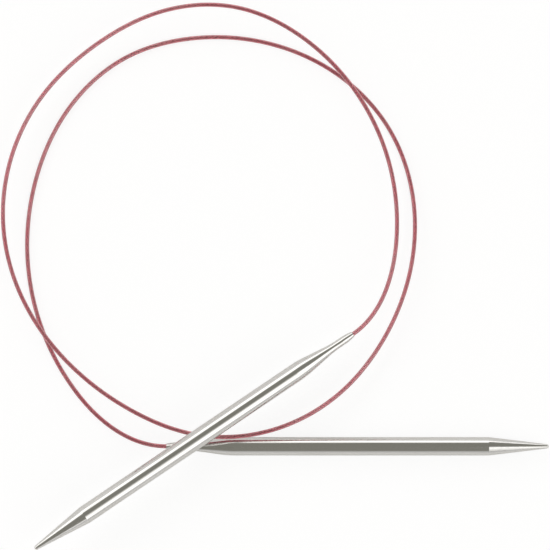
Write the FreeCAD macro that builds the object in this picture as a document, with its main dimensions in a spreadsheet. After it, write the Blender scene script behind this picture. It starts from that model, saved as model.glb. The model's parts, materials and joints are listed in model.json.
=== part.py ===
import FreeCAD, Part

# A circular knitting needle: two hollow steel needles joined by one long springy cable, lying
# coiled nearly twice round.  The cable is a twisted steel rope inside a clear plastic jacket.
#
# Frame: millimetres, +Z up, the table at Z = 0.  +X runs along the lower needle to its point, and
# the origin is under the middle of the coiled object.
#
# A flexible cable is carried by a chain of short rigid lengths.  Each length is one arc of the
# coil, and the gap between two lengths is a joint.

import math
import os

import Sketcher

Vector = FreeCAD.Vector

CABLE_LENGTHS = 16
SAMPLES = 1500

# Driving sizes, in millimetres and degrees.
DRIVING = {
    # the needle, measured from the mouth where its cable comes out
    "needle_length": 124.5,
    "shaft_radius": 3.0,
    "shaft_bore_radius": 2.5,
    "point_length": 19.5,
    "tip_ball_radius": 0.75,
    "spigot_length": 8.0,
    "press_clearance": 0.02,
    "mouth_radius": 0.9,
    "mouth_bore_radius": 0.76,
    "mouth_rounding": 4.0,
    "neck_radius": 1.34,
    "neck_length": 8.0,
    "swage_length": 12.0,
    "swage_fillet": 30.0,
    "crimp_radius": 1.1,
    "crimp_bore_radius": 0.72,
    "crimp_length": 7.0,
    # the cable
    "jacket_radius": 0.7,
    "jacket_bore_radius": 0.57,
    "rope_radius": 0.54,
    "joint_gap": 0.5,
    "seam_gap": 0.05,
    "lift_joint_offset": 1.5,
    "link_length": 6.0,
    "end_length": 30.0,
    # where the two needles lie
    "upper_mouth_x": 25.27,
    "upper_mouth_y": -19.17,
    "upper_axis_height": 10.15,
    "upper_heading": 214.0,
    "lower_mouth_x": -35.37,
    "lower_mouth_y": -55.77,
    "lower_axis_height": 3.0,
    # the coil
    "coil_centre_x": -20.9,
    "coil_centre_y": 17.0,
    "strand_height_high": 5.85,
    "strand_height_low": 0.8,
    "station_angle": 30.0,
    "upper_mouth_angle": -38.0,
    "lower_mouth_angle": 618.0,
    "upper_slope_end": 150.0,
    "crossing_slope_start": 300.0,
    "crossing_slope_end": 390.0,
    "lower_slope_start": 577.0,
    # how far the turning axes lean off the vertical, so that the coil rises as it opens
    "coil_axis_lean": 10.0,
}

# The coil's radius at each twelfth of a turn, from the upper needle round to the lower one.
COIL_RADII = (
    60.5, 62.0, 66.5, 71.0, 69.0, 68.5, 67.5, 65.5, 65.5, 69.5,
    70.0, 67.5, 66.5, 65.5, 62.5, 60.5, 60.5, 59.0, 59.5, 64.5,
)


def derived_sizes(size):
    """Sizes that follow from the driving ones, such as the places along the needle's axis."""
    wall = size["shaft_radius"] - size["shaft_bore_radius"]
    swage_start = size["neck_length"]
    swage_end = swage_start + size["swage_length"]
    shoulder = size["needle_length"] - size["point_length"]
    ball = size["tip_ball_radius"]
    point_slope = math.atan((size["shaft_radius"] - ball) / size["point_length"])
    swage_slope = math.atan((size["shaft_radius"] - size["neck_radius"]) / size["swage_length"])
    fillet_reach = size["swage_fillet"] * math.tan(swage_slope / 2)
    fillet_length = fillet_reach * math.cos(swage_slope)
    fillet_rise = fillet_reach * math.sin(swage_slope)
    inner_start = swage_start + wall
    crimp_start = inner_start + size["swage_length"] / 3
    return {
        "mouth_bend": level_arc_radius(
            size["mouth_rounding"], size["neck_radius"] - size["mouth_radius"]
        ),
        "neck_end": swage_start - fillet_reach,
        "swage_low": swage_start + fillet_length,
        "swage_low_radius": size["neck_radius"] + fillet_rise,
        "swage_high": swage_end - fillet_length,
        "swage_high_radius": size["shaft_radius"] - fillet_rise,
        "shaft_start": swage_end + fillet_reach,
        "bore_swage_start": inner_start,
        "bore_swage_end": swage_end + wall,
        "shoulder": shoulder,
        "spigot_start": shoulder - size["spigot_length"],
        "spigot_radius": size["shaft_bore_radius"] - size["press_clearance"],
        "tip_edge": size["needle_length"] - ball + ball * math.sin(point_slope),
        "tip_edge_radius": ball * math.cos(point_slope),
        "crimp_start": crimp_start,
        "crimp_end": crimp_start + size["crimp_length"],
        "half_gap": size["joint_gap"] / 2,
        "stub_overhang": size["lift_joint_offset"] - size["joint_gap"] / 2,
    }


def level_arc_radius(length, drop):
    """The radius of an arc that starts level and falls by drop over this length."""
    return (length**2 + drop**2) / (2 * drop)


# The coil's path


def ease(angle, start, end):
    """0 before start, 1 after end, and a smooth rise between them."""
    share = min(max((angle - start) / (end - start), 0.0), 1.0)
    return share * share * (3 - 2 * share)


def strand_height(size, angle):
    """The cable's height above the table, at this angle round the coil's centre."""
    upper = size["upper_axis_height"]
    high = size["strand_height_high"]
    low = size["strand_height_low"]
    height = upper
    height += (high - upper) * ease(angle, size["upper_mouth_angle"], size["upper_slope_end"])
    height += (low - high) * ease(angle, size["crossing_slope_start"], size["crossing_slope_end"])
    height += (size["lower_axis_height"] - low) * ease(
        angle, size["lower_slope_start"], size["lower_mouth_angle"]
    )
    return height


class CoilPath:
    """The cable's centre line, from the upper needle's mouth to the lower needle's mouth."""

    def __init__(self, size):
        centre = Vector(size["coil_centre_x"], size["coil_centre_y"], 0)
        stations = self.plan_points(size, centre)
        chords = [0.0]
        for a, b in zip(stations, stations[1:]):
            chords.append(chords[-1] + a.distanceToPoint(b))
        heading = math.radians(size["upper_heading"] - 180)
        plan = Part.BSplineCurve()
        plan.interpolate(
            Points=stations,
            Parameters=chords,
            InitialTangent=Vector(math.cos(heading), math.sin(heading), 0),
            FinalTangent=Vector(1, 0, 0),
            Scale=False,
        )
        first, last = plan.FirstParameter, plan.LastParameter
        self.points = []
        angle = size["upper_mouth_angle"]
        for i in range(SAMPLES + 1):
            point = plan.value(first + (last - first) * i / SAMPLES)
            arm = point - centre
            seen = math.degrees(math.atan2(arm.y, arm.x))
            angle = seen + 360 * round((angle - seen) / 360)
            self.points.append(Vector(point.x, point.y, strand_height(size, angle)))
        self.travel = [0.0]
        for a, b in zip(self.points, self.points[1:]):
            self.travel.append(self.travel[-1] + a.distanceToPoint(b))
        self.length = self.travel[-1]

    @staticmethod
    def plan_points(size, centre):
        points = [Vector(size["upper_mouth_x"], size["upper_mouth_y"], 0)]
        for i, radius in enumerate(COIL_RADII):
            angle = math.radians(size["station_angle"] * i)
            points.append(centre + Vector(math.cos(angle), math.sin(angle), 0) * radius)
        points.append(Vector(size["lower_mouth_x"], size["lower_mouth_y"], 0))
        return points

    def at(self, travel):
        """The point this far along the cable."""
        low, high = 0, len(self.travel) - 1
        while high - low > 1:
            middle = (low + high) // 2
            if self.travel[middle] <= travel:
                low = middle
            else:
                high = middle
        share = (travel - self.travel[low]) / (self.travel[high] - self.travel[low])
        return self.points[low] + (self.points[high] - self.points[low]) * share

    def heading(self, travel):
        """The unit direction of the cable, towards the lower needle."""
        step = 0.5
        ahead = self.at(min(travel + step, self.length))
        behind = self.at(max(travel - step, 0.0))
        return (ahead - behind).normalize()


def joint_places(size, path):
    """How far along the cable each joint between two lengths is: CABLE_LENGTHS + 1 places."""
    first = size["lift_joint_offset"] + size["link_length"]
    last = path.length - first
    inner_first = first + size["end_length"]
    inner_last = last - size["end_length"]
    spans = CABLE_LENGTHS - 2
    inner = [inner_first + (inner_last - inner_first) * i / spans for i in range(spans + 1)]
    return [first] + inner + [last]


class Arc:
    """The arc through three points of the cable, and the placement that carries it there."""

    def __init__(self, path, start, end):
        a, b, c = path.at(start), path.at((start + end) / 2), path.at(end)
        circle = Part.ArcOfCircle(a, b, c)
        self.radius = circle.Radius
        arm = (a - circle.Center).normalize()
        self.angle = math.degrees((a - circle.Center).getAngle(c - circle.Center))
        axis = (a - circle.Center).cross(c - circle.Center).normalize()
        side = arm.cross(axis)
        self.placement = FreeCAD.Placement(
            FreeCAD.Matrix(
                arm.x, axis.x, side.x, circle.Center.x,
                arm.y, axis.y, side.y, circle.Center.y,
                arm.z, axis.z, side.z, circle.Center.z,
                0, 0, 0, 1,
            )
        )


# The document


def make_sheet(doc, size):
    """A spreadsheet with one row per size: its name, its value and an alias of the same name."""
    sheet = doc.addObject("Spreadsheet::Sheet", "Sizes")
    for row, (name, value) in enumerate(size.items(), start=1):
        sheet.set(f"A{row}", name)
        sheet.set(f"B{row}", f"{value:.6f}")
        sheet.setAlias(f"B{row}", name)
    doc.recompute()
    return sheet


def new_body(doc, name, placement):
    body = doc.addObject("PartDesign::Body", name)
    body.Label = name
    body.Placement = placement
    return body


def new_sketch(body, name):
    """A sketch on the body's own XY plane."""
    sketch = body.newObject("Sketcher::SketchObject", name)
    planes = [f for f in body.Origin.OriginFeatures if f.Role == "XY_Plane"]
    sketch.AttachmentSupport = [(planes[0], "")]
    sketch.MapMode = "FlatFace"
    return sketch


def bind(sketch, constraint, cell):
    """Adds a constraint whose value is a cell of the sheet."""
    index = sketch.addConstraint(constraint)
    sketch.renameConstraint(index, f"{cell}_{index}")
    sketch.setExpression(f"Constraints.{cell}_{index}", f"Sizes.{cell}")


def draw_profile(sketch, size, corners, arcs):
    """Draws a closed outline, and ties each corner and each arc to the sheet.

    A corner is two cell names, and None stands for a corner on that axis.  arcs gives, for the
    edge that leaves a corner, the cell of its radius and the side its centre is on (+1 is left).
    """
    at = [Vector(size[x] if x else 0.0, size[y] if y else 0.0, 0) for x, y in corners]
    for i, start in enumerate(at):
        end = at[(i + 1) % len(at)]
        if i in arcs:
            cell, side = arcs[i]
            sketch.addGeometry(Part.Arc(start, arc_middle(start, end, size[cell], side), end))
        else:
            sketch.addGeometry(Part.LineSegment(start, end))
    ends = [edge_ends(arcs, i) for i in range(len(at))]
    for i, (x, y) in enumerate(corners):
        after = (i + 1) % len(at)
        sketch.addConstraint(
            Sketcher.Constraint("Coincident", i, ends[i][1], after, ends[after][0])
        )
        if x:
            bind(sketch, Sketcher.Constraint("DistanceX", -1, 1, i, ends[i][0], size[x]), x)
        else:
            sketch.addConstraint(Sketcher.Constraint("PointOnObject", i, ends[i][0], -2))
        if y:
            bind(sketch, Sketcher.Constraint("DistanceY", -1, 1, i, ends[i][0], size[y]), y)
        else:
            sketch.addConstraint(Sketcher.Constraint("PointOnObject", i, ends[i][0], -1))
    for i, (cell, _) in arcs.items():
        bind(sketch, Sketcher.Constraint("Radius", i, size[cell]), cell)


def edge_ends(arcs, i):
    """Which point numbers of an edge are its start and its end: an arc always runs left-handed."""
    if i in arcs and arcs[i][1] < 0:
        return (2, 1)
    return (1, 2)


def arc_middle(start, end, radius, side):
    """The middle point of an arc whose centre is to the left (+1) or right (-1) of the chord."""
    chord = end - start
    left = Vector(-chord.y, chord.x, 0).normalize()
    rise = radius - math.sqrt(radius**2 - chord.Length**2 / 4)
    return (start + end) * 0.5 - left * (side * rise)


def turn(body, sketch, name):
    """A full turn of the outline about the needle's axis, the body's X axis."""
    feature = body.newObject("PartDesign::Revolution", name)
    feature.Profile = sketch
    feature.ReferenceAxis = (sketch, ["H_Axis"])
    feature.Angle = 360
    sketch.Visibility = False
    return feature


def turned_piece(doc, size, name, placement, corners, arcs=None):
    body = new_body(doc, name, placement)
    sketch = new_sketch(body, name + "_outline")
    draw_profile(sketch, size, corners, arcs or {})
    turn(body, sketch, name + "_turned")
    return body


# The needle's pieces: X runs from the mouth to the point


def needle_tube(doc, size, name, placement):
    """The hollow shaft: its rear end is swaged down to a slim neck that grips the cable."""
    corners = [
        (None, "mouth_bore_radius"),
        ("bore_swage_start", "mouth_bore_radius"),
        ("bore_swage_end", "shaft_bore_radius"),
        ("shoulder", "shaft_bore_radius"),
        ("shoulder", "shaft_radius"),
        ("shaft_start", "shaft_radius"),
        ("swage_high", "swage_high_radius"),
        ("swage_low", "swage_low_radius"),
        ("neck_end", "neck_radius"),
        ("mouth_rounding", "neck_radius"),
        (None, "mouth_radius"),
    ]
    arcs = {5: ("swage_fillet", 1), 7: ("swage_fillet", -1), 9: ("mouth_bend", 1)}
    return turned_piece(doc, size, name, placement, corners, arcs)


def needle_point(doc, size, name, placement):
    """The solid point: a cone with a ball end, pressed into the tube by its spigot."""
    corners = [
        ("spigot_start", None),
        ("needle_length", None),
        ("tip_edge", "tip_edge_radius"),
        ("shoulder", "shaft_radius"),
        ("shoulder", "spigot_radius"),
        ("spigot_start", "spigot_radius"),
    ]
    return turned_piece(doc, size, name, placement, corners, {1: ("tip_ball_radius", 1)})


def crimp_sleeve(doc, size, name, placement):
    """The sleeve crimped on the cable's end, which is too wide to pull out through the neck."""
    corners = [
        ("crimp_start", "crimp_bore_radius"),
        ("crimp_end", "crimp_bore_radius"),
        ("crimp_end", "crimp_radius"),
        ("crimp_start", "crimp_radius"),
    ]
    return turned_piece(doc, size, name, placement, corners)


# The cable's pieces


def draw_ring(sketch, size, cells, centre_cell=None):
    """One circle, or two for a tube, at the origin or out along X at centre_cell."""
    centre = Vector(size[centre_cell] if centre_cell else 0.0, 0, 0)
    for cell in cells:
        ring = sketch.addGeometry(Part.Circle(centre, Vector(0, 0, 1), size[cell]))
        bind(sketch, Sketcher.Constraint("Radius", ring, size[cell]), cell)
        sketch.addConstraint(Sketcher.Constraint("PointOnObject", ring, 3, -1))
        if centre_cell:
            place = Sketcher.Constraint("DistanceX", -1, 1, ring, 3, size[centre_cell])
            bind(sketch, place, centre_cell)
        else:
            sketch.addConstraint(Sketcher.Constraint("PointOnObject", ring, 3, -2))


def bent_piece(doc, size, name, arc_name, placement, cells):
    """A length of cable bent to one arc: its section turned about an axis beside it."""
    body = new_body(doc, name, placement)
    sketch = new_sketch(body, name + "_section")
    draw_ring(sketch, size, cells, f"{arc_name}_bend_radius")
    feature = body.newObject("PartDesign::Revolution", name + "_bend")
    feature.Profile = sketch
    feature.ReferenceAxis = (sketch, ["V_Axis"])
    feature.setExpression("Angle", f"Sizes.{arc_name}_bend_angle")
    sketch.Visibility = False
    return body


def straight_stub(doc, size, name, placement, cells):
    """The straight end of the cable inside a needle, and the little that stands out of it."""
    body = new_body(doc, name, placement)
    sketch = new_sketch(body, name + "_section")
    draw_ring(sketch, size, cells)
    feature = body.newObject("PartDesign::Pad", name + "_run")
    feature.Profile = sketch
    feature.SideType = "Two sides"
    feature.setExpression("Length", "Sizes.crimp_end")
    feature.setExpression("Length2", "Sizes.stub_overhang")
    sketch.Visibility = False
    return body


def needle_pieces(doc, size, name, placement):
    """One whole needle with the cable's end in it.  The cable's sections face along the axis."""
    along = placement.multiply(
        FreeCAD.Placement(Vector(), FreeCAD.Rotation(Vector(0, 1, 0), 90))
    )
    jacket = ("jacket_radius", "jacket_bore_radius")
    return [
        needle_tube(doc, size, name + "_tube", placement),
        needle_point(doc, size, name + "_point", placement),
        crimp_sleeve(doc, size, name + "_crimp_sleeve", placement),
        straight_stub(doc, size, name + "_end_jacket", along, jacket),
        straight_stub(doc, size, name + "_end_rope", along, ("rope_radius",)),
    ]


def cable_arcs(size, path):
    """Every bent length by name: the two short links at the needles, and the numbered lengths.

    Half a joint gap is left at each joint.  The lower link meets its needle's stub at a fine seam.
    """
    gap = size["half_gap"]
    places = joint_places(size, path)
    arcs = {"upper_link": Arc(path, size["lift_joint_offset"] + gap, places[0] - gap)}
    for i in range(CABLE_LENGTHS):
        arcs[f"cable_{i + 1:02d}"] = Arc(path, places[i] + gap, places[i + 1] - gap)
    stub_end = path.length - size["stub_overhang"]
    arcs["lower_link"] = Arc(path, places[-1] + gap, stub_end - size["seam_gap"])
    return arcs


def all_sizes():
    size = dict(DRIVING)
    size.update(derived_sizes(size))
    return size


def needle_placement(size, which):
    heading = size["upper_heading"] if which == "upper" else 0.0
    mouth = Vector(
        size[which + "_mouth_x"], size[which + "_mouth_y"], size[which + "_axis_height"]
    )
    return FreeCAD.Placement(mouth, FreeCAD.Rotation(Vector(0, 0, 1), heading))


def build(doc):
    size = all_sizes()
    arcs = cable_arcs(size, CoilPath(size))
    for name, arc in arcs.items():
        size[name + "_bend_radius"] = arc.radius
        size[name + "_bend_angle"] = arc.angle
    make_sheet(doc, size)
    pieces = []
    for which in ("lower", "upper"):
        pieces += needle_pieces(doc, size, which + "_needle", needle_placement(size, which))
    for name, arc in arcs.items():
        jacket = ("jacket_radius", "jacket_bore_radius")
        pieces.append(bent_piece(doc, size, name + "_jacket", name, arc.placement, jacket))
        pieces.append(bent_piece(doc, size, name + "_rope", name, arc.placement, ("rope_radius",)))
    doc.recompute()
    return pieces


def check(doc, pieces):
    """Stops if any object failed to recompute or any piece isn't one valid solid."""
    for item in doc.Objects:
        if {"Invalid", "Error"} & set(item.State):
            raise RuntimeError(f"{item.Name} did not recompute: {item.State}")
    for piece in pieces:
        shape = piece.Shape
        if shape.isNull() or not shape.isValid() or len(shape.Solids) != 1:
            raise RuntimeError(f"{piece.Label} is not one valid solid")


def main():
    doc = FreeCAD.newDocument("CircularKnittingNeedle")
    pieces = build(doc)
    check(doc, pieces)
    os.makedirs("parts", exist_ok=True)
    for piece in pieces:
        piece.Shape.exportStep(f"parts/{piece.Label}.step")


if __name__ == "__main__":
    main()
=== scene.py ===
# The looks of a circular knitting needle: two brushed steel needles joined by a long red cable.
# The needles' tubes, points and crimp sleeves are the CAD parts with better materials.  The cable
# is rebuilt as one smooth run: a clear red jacket over six wires twisted round a core wire.  It is
# cut in the middle of each CAD body, so that each piece holds the one joint inside it.
# Everything is in metres, in the frame's own axes.

import json
import math

import bpy
import numpy as np
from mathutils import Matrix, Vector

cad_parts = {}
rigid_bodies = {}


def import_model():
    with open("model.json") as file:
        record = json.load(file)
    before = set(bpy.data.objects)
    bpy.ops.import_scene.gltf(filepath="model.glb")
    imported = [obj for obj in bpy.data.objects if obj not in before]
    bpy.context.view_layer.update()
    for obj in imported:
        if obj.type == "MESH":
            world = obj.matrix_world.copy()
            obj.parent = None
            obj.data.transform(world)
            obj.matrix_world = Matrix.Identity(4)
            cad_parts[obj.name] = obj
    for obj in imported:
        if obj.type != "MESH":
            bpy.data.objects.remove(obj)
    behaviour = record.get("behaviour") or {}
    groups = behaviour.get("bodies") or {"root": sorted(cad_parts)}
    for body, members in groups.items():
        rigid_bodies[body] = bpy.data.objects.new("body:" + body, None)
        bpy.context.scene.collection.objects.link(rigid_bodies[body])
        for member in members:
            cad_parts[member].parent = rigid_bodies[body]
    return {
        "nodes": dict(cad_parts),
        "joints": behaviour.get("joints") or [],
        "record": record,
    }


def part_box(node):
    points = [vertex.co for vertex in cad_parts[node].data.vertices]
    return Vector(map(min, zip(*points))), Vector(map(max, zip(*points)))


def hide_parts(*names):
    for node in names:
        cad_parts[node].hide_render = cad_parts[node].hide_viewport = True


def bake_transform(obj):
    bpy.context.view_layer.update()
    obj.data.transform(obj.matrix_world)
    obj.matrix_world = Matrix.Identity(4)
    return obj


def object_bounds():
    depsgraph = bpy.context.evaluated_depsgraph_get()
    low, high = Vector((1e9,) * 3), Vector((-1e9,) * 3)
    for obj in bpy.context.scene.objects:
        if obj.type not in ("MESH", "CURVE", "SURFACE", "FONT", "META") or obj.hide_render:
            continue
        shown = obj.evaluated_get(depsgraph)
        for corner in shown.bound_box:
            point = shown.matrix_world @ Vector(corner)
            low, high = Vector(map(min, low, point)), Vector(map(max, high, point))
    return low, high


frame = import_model()
cad_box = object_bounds()

MM = 0.001

# The cable's wires and sampling
OUTER_WIRES = 6
LAY_LENGTH = 8.8 * MM
WIRE_STEP = 0.55 * MM
JACKET_STEP = 1.0 * MM
FINE_STEP = 0.4 * MM
WIRE_SIDES = 12
JACKET_SIDES = 24
CURVE_STEP = 0.1 * MM
BORE_CLEARANCE = 0.02 * MM
SHARP_ANGLE = math.radians(60)
CREST = "crest"

# How deep the ring of vertices is that is taken as the CAD cable's middle section
RING_DEPTH = 0.3 * MM

# Where the first cut lies, as a share of the way between the two joints of the upper link
FIRST_CUT = 0.375

# The camera looks straight down through a long lens, from over the origin.
VIEW_MARGIN = 1.0026
LENS = 400.0
SENSOR = 36.0

# How the camera sees the white table: a steady glow, and a little of its real light and shade.
FLOOR_GLOW = 0.85
FLOOR_SHADE = 0.2
# The glow of the table that the object reflects, on top of the light the table throws back
FLOOR_FILL = 0.12
FLOOR_HALF_WIDTH = 3.0

# The studio, by the height of a direction of length one: it is all wall below WALL_FULL, and all
# ceiling above CEILING_FULL.  The height is kept above LOWEST, because x and y are divided by it.
WALL_FULL = 0.2
CEILING_FULL = 0.64
LOWEST = 0.02


# Node trees


def put(tree, socket, value):
    """Links an input to a socket, or sets it to a number or a colour."""
    if isinstance(value, bpy.types.NodeSocket):
        tree.links.new(value, socket)
    else:
        socket.default_value = value


def calculate(tree, operation, a, b):
    node = tree.nodes.new("ShaderNodeMath")
    node.operation = operation
    put(tree, node.inputs[0], a)
    put(tree, node.inputs[1], b)
    return node.outputs[0]


def remap(tree, value, low, high, start=0.0, end=1.0):
    """A smooth change from start to end as value goes from low to high."""
    node = tree.nodes.new("ShaderNodeMapRange")
    node.interpolation_type = "SMOOTHSTEP"
    for socket, number in zip(node.inputs, (value, low, high, start, end)):
        put(tree, socket, number)
    return node.outputs[0]


def blend_colours(tree, factor, a, b):
    """A mix of two colours.  Sockets 6 and 7 are the node's colour inputs, and 2 its colour output."""
    node = tree.nodes.new("ShaderNodeMix")
    node.data_type = "RGBA"
    put(tree, node.inputs["Factor"], factor)
    put(tree, node.inputs[6], a)
    put(tree, node.inputs[7], b)
    return node.outputs[2]


def noise(tree, vector, detail):
    node = tree.nodes.new("ShaderNodeTexNoise")
    node.inputs["Scale"].default_value = 1.0
    node.inputs["Detail"].default_value = detail
    put(tree, node.inputs["Vector"], vector)
    return node.outputs["Fac"]


def place_in(tree, size, turn=0.0):
    """The place on the object, turned about Z, in units of size (x, y, z)."""
    coordinates = tree.nodes.new("ShaderNodeTexCoord")
    mapping = tree.nodes.new("ShaderNodeMapping")
    mapping.vector_type = "TEXTURE"
    mapping.inputs["Rotation"].default_value = (0, 0, turn)
    mapping.inputs["Scale"].default_value = size
    tree.links.new(coordinates.outputs["Object"], mapping.inputs["Vector"])
    return mapping.outputs["Vector"]


def new_material(name):
    """A material with an empty tree but for its output and one Principled shader."""
    material = bpy.data.materials.new(name)
    material.use_nodes = True
    tree = material.node_tree
    return material, tree, tree.nodes["Principled BSDF"]


def add_bump(tree, shader, height, depth):
    bump = tree.nodes.new("ShaderNodeBump")
    bump.inputs["Strength"].default_value = 1.0
    bump.inputs["Distance"].default_value = depth
    put(tree, bump.inputs["Height"], height)
    tree.links.new(bump.outputs["Normal"], shader.inputs["Normal"])


# Materials


def brushed_steel(name, turn):
    """Drawn steel, polished along its length, with faint handling marks."""
    material, tree, shader = new_material(name)
    streaks = noise(tree, place_in(tree, (14 * MM, 0.16 * MM, 0.16 * MM), turn), detail=2.0)
    clouds = noise(tree, place_in(tree, (16 * MM, 3 * MM, 3 * MM), turn), detail=3.0)
    pits = noise(tree, place_in(tree, (0.5 * MM, 0.12 * MM, 0.12 * MM), turn), detail=2.0)
    plain = (0.72, 0.715, 0.7, 1)
    worn = (0.63, 0.62, 0.595, 1)
    wear = calculate(tree, "MULTIPLY", remap(tree, clouds, 0.4, 0.7), remap(tree, streaks, 0.35, 0.75))
    put(tree, shader.inputs["Base Color"], blend_colours(tree, wear, plain, worn))
    put(tree, shader.inputs["Metallic"], 1.0)
    rough = calculate(
        tree, "ADD", remap(tree, streaks, 0.3, 0.75, 0.07, 0.15), remap(tree, clouds, 0.35, 0.7, 0.0, 0.06)
    )
    put(tree, shader.inputs["Roughness"], rough)
    relief = calculate(tree, "ADD", streaks, calculate(tree, "MULTIPLY", pits, 0.35))
    add_bump(tree, shader, relief, 0.0012 * MM)
    return material


def crimp_metal():
    """Plain rolled steel, squeezed by the crimping tool."""
    material, tree, shader = new_material("crimp_metal")
    marks = noise(tree, place_in(tree, (0.4 * MM, 0.4 * MM, 0.4 * MM)), detail=3.0)
    dark = (0.42, 0.4, 0.37, 1)
    light = (0.62, 0.6, 0.56, 1)
    put(tree, shader.inputs["Base Color"], blend_colours(tree, marks, dark, light))
    put(tree, shader.inputs["Metallic"], 1.0)
    put(tree, shader.inputs["Roughness"], remap(tree, marks, 0.3, 0.7, 0.3, 0.5))
    add_bump(tree, shader, marks, 0.01 * MM)
    return material


def wire_metal():
    """Bright drawn wire.  Painted shade: near black where each wire faces in, in the grooves between the
    wires.
    """
    material, tree, shader = new_material("wire_rope")
    patches = noise(tree, place_in(tree, (0.15 * MM, 0.15 * MM, 0.15 * MM)), detail=1.0)
    crest = tree.nodes.new("ShaderNodeAttribute")
    crest.attribute_name = CREST
    painted_groove_shade = (0.03, 0.03, 0.03, 1)
    dark = (0.84, 0.82, 0.81, 1)
    light = (1.0, 0.98, 0.97, 1)
    metal = blend_colours(tree, remap(tree, patches, 0.35, 0.6), dark, light)
    # Painted shade: where the crest attribute says the wire faces in, towards its neighbours and the core,
    # the colour goes near black.
    height = remap(tree, crest.outputs["Fac"], 0.55, 0.9)
    put(tree, shader.inputs["Base Color"], blend_colours(tree, height, painted_groove_shade, metal))
    put(tree, shader.inputs["Metallic"], 1.0)
    put(tree, shader.inputs["Roughness"], remap(tree, patches, 0.3, 0.7, 0.16, 0.08))
    add_bump(tree, shader, patches, 0.01 * MM)
    return material


def red_jacket():
    """Clear dark red nylon, a little milky, with a dusty skin.  Lamps light the wires through it."""
    material, tree, shader = new_material("cable_jacket")
    clouds = noise(tree, place_in(tree, (9 * MM, 9 * MM, 9 * MM)), detail=1.0)
    dust = noise(tree, place_in(tree, (0.2 * MM, 0.2 * MM, 0.2 * MM)), detail=2.0)
    deep = (0.97, 0.23, 0.3, 1)
    pale = (1.0, 0.3, 0.36, 1)
    put(tree, shader.inputs["Base Color"], blend_colours(tree, remap(tree, clouds, 0.35, 0.65), deep, pale))
    put(tree, shader.inputs["Transmission Weight"], remap(tree, dust, 0.45, 0.8, 0.9, 0.7))
    put(tree, shader.inputs["IOR"], 1.5)
    put(tree, shader.inputs["Roughness"], remap(tree, dust, 0.3, 0.75, 0.02, 0.08))
    put(tree, shader.inputs["Coat Weight"], 1.0)
    put(tree, shader.inputs["Coat IOR"], 1.75)
    put(tree, shader.inputs["Coat Roughness"], remap(tree, dust, 0.3, 0.75, 0.1, 0.3))
    add_bump(tree, shader, dust, 0.004 * MM)
    lit_through = tree.nodes.new("ShaderNodeBsdfTransparent")
    lit_through.inputs["Color"].default_value = (0.8, 0.4, 0.45, 1)
    path = tree.nodes.new("ShaderNodeLightPath")
    mix = tree.nodes.new("ShaderNodeMixShader")
    tree.links.new(path.outputs["Is Shadow Ray"], mix.inputs[0])
    tree.links.new(shader.outputs[0], mix.inputs[1])
    tree.links.new(lit_through.outputs[0], mix.inputs[2])
    tree.links.new(mix.outputs[0], tree.nodes["Material Output"].inputs["Surface"])
    return material


def seam():
    """The jacket's inside and its cut ends, where nylon meets wire or nylon: nothing to see."""
    material = bpy.data.materials.new("jacket_seam")
    material.use_nodes = True
    tree = material.node_tree
    tree.nodes.remove(tree.nodes["Principled BSDF"])
    clear = tree.nodes.new("ShaderNodeBsdfTransparent")
    tree.links.new(clear.outputs[0], tree.nodes["Material Output"].inputs["Surface"])
    return material


# The cable's centre line


def vertices(node):
    mesh = frame["nodes"][node].data
    flat = np.empty(len(mesh.vertices) * 3)
    mesh.vertices.foreach_get("co", flat)
    return flat.reshape(-1, 3)


def joint_place(name):
    return next(np.array(j["pos_m"]) for j in frame["joints"] if j["name"] == name)


def section_centre(node, place, direction):
    """The middle of the node's ring of vertices nearest to a plane."""
    points = vertices(node)
    along = (points - place) @ direction
    nearest = along[np.abs(along).argmin()]
    ring = points[np.abs(along - nearest) < RING_DEPTH]
    return np.unique(ring.round(6), axis=0).mean(axis=0)


class Needle:
    """A needle's axis, from its mouth to its point, and how deep the cable's end goes into it."""

    def __init__(self, name):
        shaft = next(m for m in frame["record"]["mounts"] if m["name"] == name + "_shaft")
        self.direction = np.array(shaft["axis"])
        middle = np.array(shaft["pos_m"])
        back = (vertices(name + "_tube") - middle) @ self.direction
        inside = (vertices(name + "_end_rope") - middle) @ self.direction
        self.mouth = middle + self.direction * back.min()
        self.depth = inside.max() - back.min()


def chain_of_bodies():
    """The bodies in order, from the upper needle to the lower one, and the joints between them."""
    bodies = ["upper_needle"]
    joints = []
    while bodies[-1] != "lower_needle":
        for joint in frame["joints"]:
            pair = {joint["parent"], joint["child"]}
            if bodies[-1] in pair and joint["name"] not in joints:
                joints.append(joint["name"])
                bodies.append((pair - {bodies[-1]}).pop())
                break
    return bodies, joints


def spline(points, first_slope, last_slope):
    """A smooth curve through the points with these end directions, as closely spaced points."""
    chords = np.linalg.norm(np.diff(points, axis=0), axis=1)
    count = len(points)
    system = np.zeros((count, count))
    target = np.zeros((count, 3))
    system[0, 0] = system[-1, -1] = 1.0
    target[0] = first_slope
    target[-1] = last_slope
    for i in range(1, count - 1):
        before, after = chords[i - 1], chords[i]
        system[i, i - 1 : i + 2] = after, 2 * (before + after), before
        rise_before = (points[i] - points[i - 1]) / before
        rise_after = (points[i + 1] - points[i]) / after
        target[i] = 3 * (after * rise_before + before * rise_after)
    slopes = np.linalg.solve(system, target)
    run = []
    for i, chord in enumerate(chords):
        t = np.linspace(0, 1, max(2, round(chord / CURVE_STEP)), endpoint=False)[:, None]
        run.append(
            points[i] * (1 + 2 * t) * (1 - t) ** 2
            + slopes[i] * chord * t * (1 - t) ** 2
            + points[i + 1] * t * t * (3 - 2 * t)
            + slopes[i + 1] * chord * t * t * (t - 1)
        )
    run.append(points[-1:])
    return np.concatenate(run)


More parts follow.
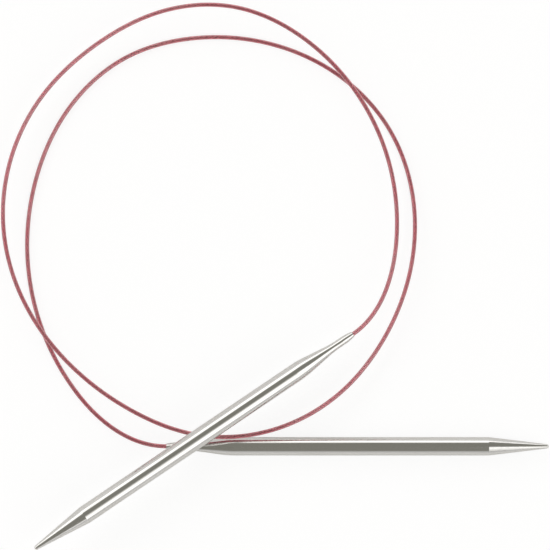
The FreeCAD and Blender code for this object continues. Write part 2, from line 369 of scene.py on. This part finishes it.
class Cable:
    """The cable's centre line.  Travel is measured from the upper needle's mouth."""

    def __init__(self):
        self.upper = Needle("upper_needle")
        self.lower = Needle("lower_needle")
        self.bodies, self.joints = chain_of_bodies()
        places = [joint_place(name) for name in self.joints]
        points = [self.upper.mouth]
        for body, start, end in zip(self.bodies[1:], places, places[1:]):
            points.append(start)
            if body.startswith("cable_"):
                direction = (end - start) / np.linalg.norm(end - start)
                points.append(section_centre(body + "_rope", (start + end) / 2, direction))
        points += [places[-1], self.lower.mouth]
        curve = spline(np.array(points), -self.upper.direction, self.lower.direction)
        first = self.upper.mouth + self.upper.direction * self.upper.depth
        last = self.lower.mouth + self.lower.direction * self.lower.depth
        self.points = np.concatenate([[first], curve, [last]])
        steps = np.linalg.norm(np.diff(self.points, axis=0), axis=1)
        self.travel = np.concatenate([[0.0], np.cumsum(steps)]) - self.upper.depth
        self.mouth_travel = self.travel[-2]
        self.joint_travel = [self.travel_of(place) for place in places]

    def travel_of(self, place):
        return self.travel[np.linalg.norm(self.points - place, axis=1).argmin()]

    def at(self, travel):
        return np.stack([np.interp(travel, self.travel, self.points[:, k]) for k in range(3)], axis=-1)

    def axes(self, travel):
        """The centre and the two directions across the cable: level, and upward."""
        ahead = self.at(travel + CURVE_STEP)
        behind = self.at(travel - CURVE_STEP)
        along = ahead - behind
        along /= np.linalg.norm(along, axis=1)[:, None]
        level = np.cross((0.0, 0.0, 1.0), along)
        level /= np.linalg.norm(level, axis=1)[:, None]
        return self.at(travel), level, np.cross(along, level)

    def cuts(self):
        """Where the cable is cut into pieces, one more than there are joints."""
        lift, swing = self.joint_travel[:2]
        inside_link = lift + (swing - lift) * FIRST_CUT
        middles = [(a + b) / 2 for a, b in zip(self.joint_travel[1:], self.joint_travel[2:])]
        ends = self.travel[0], self.travel[-1]
        return [ends[0], inside_link] + middles + [ends[1]]


# Meshes


def rings_round(cable, travel, offset_level, offset_up, radius, sides):
    """One ring of points round the cable's line at each travel, offset from it, and radius wide."""
    centre, level, up = cable.axes(travel)
    angle = np.arange(sides) * 2 * math.pi / sides
    across = offset_level[:, None] + radius * np.cos(angle)
    above = offset_up[:, None] + radius * np.sin(angle)
    return (
        centre[:, None]
        + across[:, :, None] * level[:, None]
        + above[:, :, None] * up[:, None]
    )


def side_faces(rings, sides, first, outward):
    """Four-sided faces between successive rings, facing out or in."""
    faces = []
    for i in range(rings - 1):
        for k in range(sides):
            a = first + i * sides + k
            b = first + i * sides + (k + 1) % sides
            face = (a, b, b + sides, a + sides)
            faces.append(face if outward else face[::-1])
    return faces


def make_object(name, points, faces, materials, flat_from, second_from=None):
    """A mesh object.  Faces from flat_from on are flat, and from second_from on take material 2."""
    mesh = bpy.data.meshes.new(name)
    mesh.from_pydata(points.reshape(-1, 3).tolist(), [], faces)
    count = np.arange(len(faces))
    mesh.polygons.foreach_set("use_smooth", count < flat_from)
    for material in materials:
        mesh.materials.append(material)
    if second_from is not None:
        mesh.polygons.foreach_set("material_index", (count >= second_from).astype(np.int32))
    mesh.update()
    mesh.set_sharp_from_angle(angle=SHARP_ANGLE)
    piece = bpy.data.objects.new(name, mesh)
    bpy.context.scene.collection.objects.link(piece)
    return piece


def travels(start, end, step):
    return np.linspace(start, end, max(2, math.ceil((end - start) / step) + 1))


def jacket_piece(cable, name, start, end, step, radius, bore, materials):
    """A length of plastic tube: outside, bore and two ring-shaped ends."""
    travel = travels(start, end, step)
    level = np.zeros(len(travel))
    outside = rings_round(cable, travel, level, level, radius, JACKET_SIDES)
    inside = rings_round(cable, travel, level, level, bore, JACKET_SIDES)
    rings = len(travel)
    inner_first = rings * JACKET_SIDES
    faces = side_faces(rings, JACKET_SIDES, 0, outward=True)
    seam_first = len(faces)
    faces += side_faces(rings, JACKET_SIDES, inner_first, outward=False)
    flat_first = len(faces)
    for ring, flip in ((0, False), (rings - 1, True)):
        for k in range(JACKET_SIDES):
            a = ring * JACKET_SIDES + k
            b = ring * JACKET_SIDES + (k + 1) % JACKET_SIDES
            face = (a, b, b + inner_first, a + inner_first)
            faces.append(face if flip else face[::-1])
    points = np.concatenate([outside.reshape(-1, 3), inside.reshape(-1, 3)])
    return make_object(name, points, faces, materials, flat_first, seam_first)


def rope_piece(cable, name, start, end, step, rope_radius, material):
    """Six wires twisted round a straight core wire, each a closed round bar."""
    travel = travels(start, end, step)
    wire_radius = rope_radius / 3
    rings = len(travel)
    round_wire = np.arange(WIRE_SIDES) * 2 * math.pi / WIRE_SIDES
    points, faces, ends, crests = [], [], [], []
    for wire in range(OUTER_WIRES + 1):
        # The crest attribute is 1 where a wire faces out of the rope and 0 where it faces in; the core wire
        # is 0 all round.  The wire material paints shade where it is low.
        if wire < OUTER_WIRES:
            turn = 2 * math.pi * (travel / LAY_LENGTH + wire / OUTER_WIRES)
            level = 2 * wire_radius * np.cos(turn)
            up = 2 * wire_radius * np.sin(turn)
            crests.append((1 + np.cos(round_wire - turn[:, None])) / 2)
        else:
            level = up = np.zeros(rings)
            crests.append(np.zeros((rings, WIRE_SIDES)))
        first = len(points) * rings * WIRE_SIDES
        points.append(rings_round(cable, travel, level, up, wire_radius, WIRE_SIDES))
        faces += side_faces(rings, WIRE_SIDES, first, outward=True)
        last = first + (rings - 1) * WIRE_SIDES
        ends.append(tuple(reversed(range(first, first + WIRE_SIDES))))
        ends.append(tuple(range(last, last + WIRE_SIDES)))
    rope = make_object(name, np.stack(points), faces + ends, [material], len(faces))
    crest = rope.data.attributes.new(CREST, "FLOAT", "POINT")
    crest.data.foreach_set("value", np.stack(crests).ravel())
    return rope


# The cable's pieces


def build_cable():
    cable = Cable()
    low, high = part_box("lower_needle_end_jacket")
    jacket_radius = (high.z - low.z) / 2
    low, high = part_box("lower_needle_end_rope")
    rope_radius = (high.z - low.z) / 2
    bore = rope_radius + BORE_CLEARANCE
    jacket_look = [red_jacket(), seam()]
    rope_look = wire_metal()
    cuts = cable.cuts()
    count = len(cable.joints)
    for i in range(count):
        start, end = cuts[i], cuts[i + 1]
        first, second = cable.bodies[i], cable.bodies[i + 1]
        near_needle = i < 2 or i == count - 1
        stands_for = [first + ("_end" if i == 0 else "")]
        if i == count - 1:
            stands_for += ["lower_link", "lower_needle_end"]
        jacket = jacket_piece(
            cable, f"cable_jacket_{i + 1:02d}", start, end,
            FINE_STEP if near_needle else JACKET_STEP, jacket_radius, bore, jacket_look,
        )
        rope = rope_piece(
            cable, f"cable_wires_{i + 1:02d}", start, end,
            FINE_STEP if near_needle else WIRE_STEP, rope_radius, rope_look,
        )
        for piece, ending, slot in ((jacket, "_jacket", "cable_jacket"), (rope, "_rope", "wire_rope")):
            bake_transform(piece)
            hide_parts(*[node + ending for node in stands_for])


# The needles


def dress_needles():
    crimp = crimp_metal()
    for name in ("lower_needle", "upper_needle"):
        direction = Needle(name).direction
        steel = brushed_steel(name + "_steel", math.atan2(direction[1], direction[0]))
        for part, material in (("tube", steel), ("point", steel), ("crimp_sleeve", crimp)):
            frame["nodes"][f"{name}_{part}"].data.materials[0] = material


# The studio


def level_reach(tree, x, y, bearing):
    """How far the place (x, y) is along a bearing, in degrees."""
    along_x = calculate(tree, "MULTIPLY", x, math.cos(math.radians(bearing)))
    along_y = calculate(tree, "MULTIPLY", y, math.sin(math.radians(bearing)))
    return calculate(tree, "ADD", along_x, along_y)


def softbox(tree, x, y, bearing, near, far, left, right, edge):
    """1 inside a soft-edged rectangle on a level plane one unit up, seen from the object.

    near and far are measured along the bearing, and left and right across it.  The far edge is
    three times as soft as the others.
    """
    out = level_reach(tree, x, y, bearing)
    across = level_reach(tree, x, y, bearing + 90)
    mask = remap(tree, out, near - edge, near + edge)
    for value, low, high in (
        (out, far + 3 * edge, far - 3 * edge),
        (across, left + edge, left - edge),
        (across, -right - edge, -right + edge),
    ):
        mask = calculate(tree, "MULTIPLY", mask, remap(tree, value, low, high))
    return mask


def studio_light():
    """A dim ceiling with two big softboxes, and pale walls.  The camera itself sees plain white."""
    world = bpy.data.worlds.new("studio")
    bpy.context.scene.world = world
    world.use_nodes = True
    tree = world.node_tree
    background = tree.nodes["Background"]
    direction = tree.nodes.new("ShaderNodeTexCoord").outputs["Generated"]
    parts = tree.nodes.new("ShaderNodeSeparateXYZ")
    tree.links.new(direction, parts.inputs[0])
    height = calculate(tree, "MAXIMUM", parts.outputs[2], LOWEST)
    x = calculate(tree, "DIVIDE", parts.outputs[0], height)
    y = calculate(tree, "DIVIDE", parts.outputs[1], height)
    ceiling = (0.26, 0.255, 0.225, 1)
    wall = (0.86, 0.85, 0.84, 1)
    dim_wall = (0.7, 0.69, 0.685, 1)
    lamp = (1.65, 1.63, 1.6, 1)
    side = remap(tree, parts.outputs[1], -0.7, 0.2)
    walls = blend_colours(tree, side, dim_wall, wall)
    colour = blend_colours(tree, remap(tree, height, CEILING_FULL, WALL_FULL), ceiling, walls)
    over_needles = softbox(tree, x, y, 142, near=0.7, far=2.3, left=2.0, right=3.4, edge=0.12)
    beyond_points = softbox(tree, x, y, 12, near=0.13, far=1.5, left=-0.2, right=2.2, edge=0.12)
    colour = blend_colours(tree, over_needles, colour, lamp)
    colour = blend_colours(tree, beyond_points, colour, lamp)
    path = tree.nodes.new("ShaderNodeLightPath")
    seen = blend_colours(tree, path.outputs["Is Camera Ray"], colour, (1, 1, 1, 1))
    tree.links.new(seen, background.inputs["Color"])


def floor():
    """A plain white table.  The camera sees it bleached, so only the deepest shadow shows."""
    mesh = bpy.data.meshes.new("floor")
    half = FLOOR_HALF_WIDTH
    corners = [(-half, -half, 0), (half, -half, 0), (half, half, 0), (-half, half, 0)]
    mesh.from_pydata(corners, [], [(0, 1, 2, 3)])
    table = bpy.data.objects.new("floor", mesh)
    bpy.context.scene.collection.objects.link(table)
    material, tree, shader = new_material("white_table")
    seen = tree.nodes.new("ShaderNodeLightPath").outputs["Is Camera Ray"]
    white, faint = (0.93, 0.925, 0.92, 1), (FLOOR_SHADE, FLOOR_SHADE, FLOOR_SHADE, 1)
    put(tree, shader.inputs["Base Color"], blend_colours(tree, seen, white, faint))
    put(tree, shader.inputs["Roughness"], 1.0)
    put(tree, shader.inputs["Specular IOR Level"], 0.0)
    put(tree, shader.inputs["Emission Color"], (1, 1, 1, 1))
    put(tree, shader.inputs["Emission Strength"], remap(tree, seen, 0.0, 1.0, FLOOR_FILL, FLOOR_GLOW))
    mesh.materials.append(material)


def top_camera():
    """Straight above the origin, just wide enough for the whole object."""
    low, high = cad_box
    width = (high.x - low.x) * VIEW_MARGIN
    camera = bpy.data.objects.new("camera", bpy.data.cameras.new("camera"))
    bpy.context.scene.collection.objects.link(camera)
    camera.data.lens = LENS
    camera.data.sensor_width = SENSOR
    camera.location = (0, 0, (low.z + high.z) / 2 + width * LENS / SENSOR)
    camera.data.clip_end = 10.0
    bpy.context.scene.camera = camera


build_cable()
dress_needles()
studio_light()
floor()
top_camera()
bpy.context.scene.view_settings.view_transform = "Standard"
